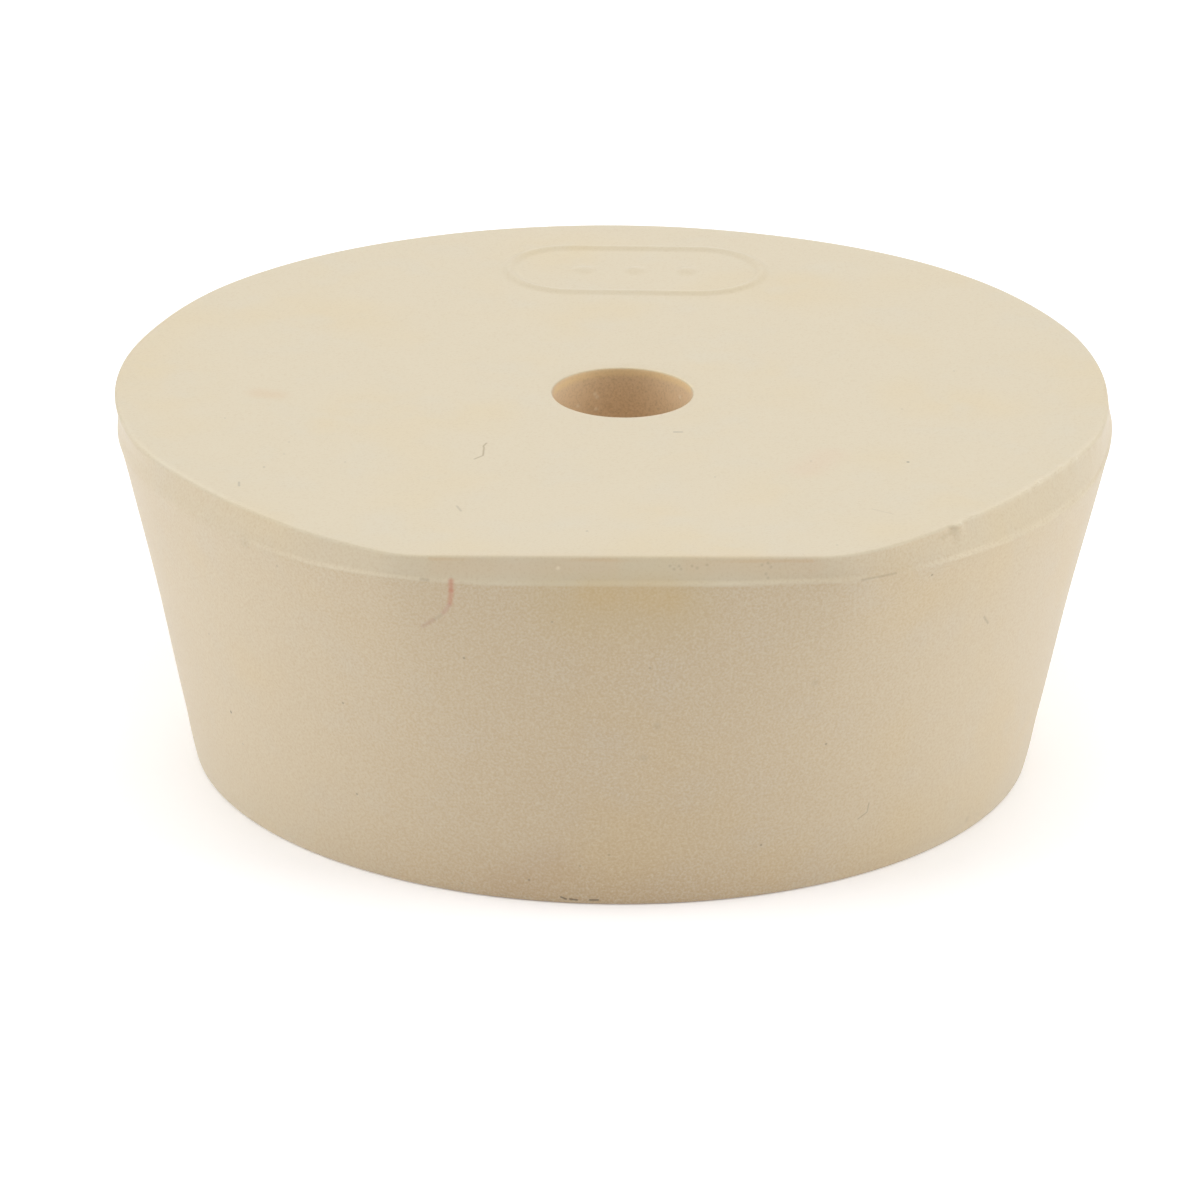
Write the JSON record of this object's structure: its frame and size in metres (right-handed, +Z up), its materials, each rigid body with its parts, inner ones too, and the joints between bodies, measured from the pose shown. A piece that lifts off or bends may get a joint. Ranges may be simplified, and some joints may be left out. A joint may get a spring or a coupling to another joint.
{
  "type": "rubber stopper",
  "caption": "Tapered solid rubber stopper with a drilled through hole for a tube, a trimmed rim with a flat at the front, and a small raised moulding mark on top.",
  "frame": {"origin": "on the axis of the tapered wall, at the base", "axes": "+Z up along the taper and the drilled hole, -Y towards the flat on the front of the rim, +X to the right"},
  "size_m": [0.0676, 0.0659, 0.026],
  "materials": {
    "gum_rubber": "matte moulded cream rubber"
  },
  "bodies": {
    "root": {"stopper": "gum_rubber"}
  },
  "joints": []
}
